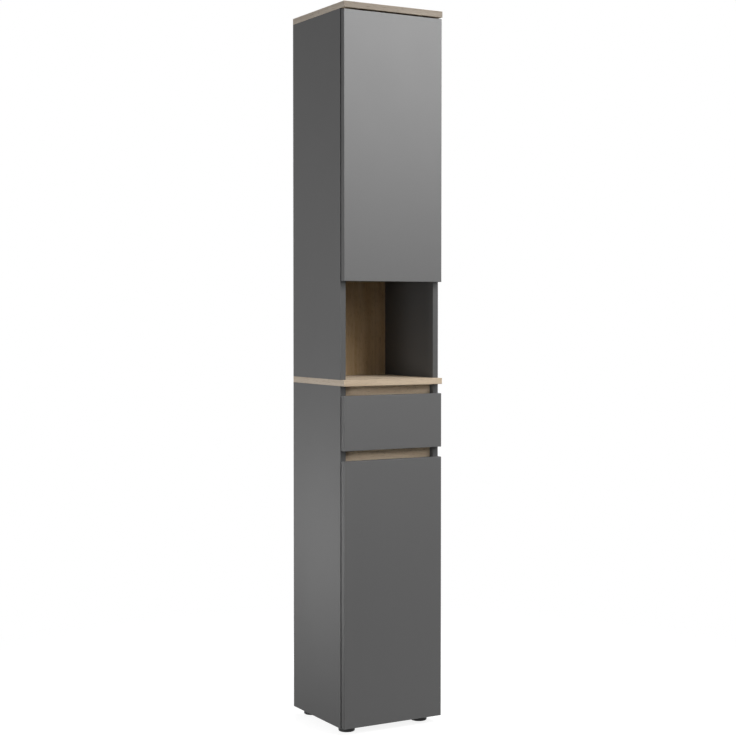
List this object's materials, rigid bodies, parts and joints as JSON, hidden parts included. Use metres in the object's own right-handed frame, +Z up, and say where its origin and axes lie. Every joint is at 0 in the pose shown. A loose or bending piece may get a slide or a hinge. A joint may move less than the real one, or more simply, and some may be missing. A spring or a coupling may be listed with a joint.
{
  "type": "tall bathroom cabinet",
  "caption": "Tall narrow grey bathroom cabinet with oak boards, hinged doors, a drawer on roller runners, an open niche and recessed finger grips.",
  "frame": {"origin": "on the floor, under the middle of the cabinet's footprint", "axes": "+Z up, -Y out of the doors and the drawer, +X to the right for someone facing the doors"},
  "size_m": [0.3, 0.292, 1.913],
  "materials": {
    "oak_board": "matt oak decor",
    "grey_front": "matt grey lacquered board",
    "grey_board": "matt grey melamine board",
    "back_board": "grey hardboard",
    "drawer_board": "grey coated board",
    "foot_plastic": "black",
    "runner_steel": "light grey powder coat",
    "hinge_steel": "nickel plated",
    "fastener_steel": "zinc plated",
    "zinc": "die cast",
    "bracket_steel": "zinc plated",
    "roller_plastic": "white",
    "bumper_rubber": "clear soft dot",
    "beech": "plain"
  },
  "bodies": {
    "carcass": {"top_board": "oak_board", "worktop": "oak_board", "upper_grip_strip": "oak_board", "lower_grip_strip": "oak_board", "niche_back_panel": "oak_board", "lower_side_left": "grey_board", "lower_side_right": "grey_board", "upper_side_left": "grey_board", "upper_side_right": "grey_board", "bottom_panel": "grey_board", "drawer_divider": "grey_board", "niche_ceiling": "grey_board", "upper_shelf_1": "grey_board", "upper_shelf_2": "grey_board", "lower_shelf_1": "grey_board", "lower_back_panel": "back_board", "upper_back_panel": "back_board", "foot_front_left": "foot_plastic", "foot_front_right": "foot_plastic", "foot_back_left": "foot_plastic", "foot_back_right": "foot_plastic", "cabinet_runner_left": "runner_steel", "cabinet_runner_right": "runner_steel", "hinge_arms": "hinge_steel", "hinge_plates": "hinge_steel", "foot_screws": "fastener_steel", "bracket_screws": "fastener_steel", "hinge_arm_screws": "fastener_steel", "hinge_plate_screws": "fastener_steel", "runner_screws": "fastener_steel", "cam_bolts": "fastener_steel", "shelf_pins": "fastener_steel", "cam_locks": "zinc", "wall_bracket_left": "bracket_steel", "wall_bracket_right": "bracket_steel", "dowels": "beech"},
    "upper_door": {"upper_door": "grey_front", "upper_door_hinge_cups": "hinge_steel", "upper_door_hinge_pins": "fastener_steel", "upper_door_cup_screws": "fastener_steel", "upper_door_bumpers": "bumper_rubber"},
    "lower_door": {"lower_door": "grey_front", "lower_door_hinge_cups": "hinge_steel", "lower_door_hinge_pins": "fastener_steel", "lower_door_cup_screws": "fastener_steel", "lower_door_bumpers": "bumper_rubber"},
    "drawer": {"drawer_front": "grey_front", "drawer_side_left": "drawer_board", "drawer_side_right": "drawer_board", "drawer_back": "drawer_board", "drawer_bottom": "drawer_board", "drawer_screws": "fastener_steel", "drawer_cam_locks": "zinc", "drawer_cam_bolts": "fastener_steel", "drawer_bumpers": "bumper_rubber", "drawer_runner_left": "runner_steel", "drawer_runner_right": "runner_steel"},
    "front_rollers": {"front_rollers": "roller_plastic"},
    "rear_rollers": {"rear_rollers": "roller_plastic"}
  },
  "joints": [
    {"name": "upper_door_swing", "type": "hinge", "parent": "carcass", "child": "upper_door", "pos_m": [0.1415, -0.1375, 1.542], "axis": [0, 0, 1], "range_deg": [0, 95]},
    {"name": "lower_door_swing", "type": "hinge", "parent": "carcass", "child": "lower_door", "pos_m": [0.1415, -0.1375, 0.37], "axis": [0, 0, 1], "range_deg": [0, 95]},
    {"name": "drawer_slide", "type": "slide", "parent": "carcass", "child": "drawer", "axis": [0, -1, 0], "range_m": [0, 0.19]},
    {"name": "front_roller_spin", "type": "hinge", "parent": "carcass", "child": "front_rollers", "pos_m": [0, -0.111, 0.7691], "axis": [1, 0, 0], "continuous": true},
    {"name": "rear_roller_spin", "type": "hinge", "parent": "drawer", "child": "rear_rollers", "pos_m": [0, 0.112, 0.7673], "axis": [1, 0, 0], "continuous": true}
  ],
  "couplings": [
    {"joint": "front_roller_spin", "follows": "drawer_slide", "rad_per_m": 142.86},
    {"joint": "rear_roller_spin", "follows": "drawer_slide", "rad_per_m": 142.86}
  ]
}
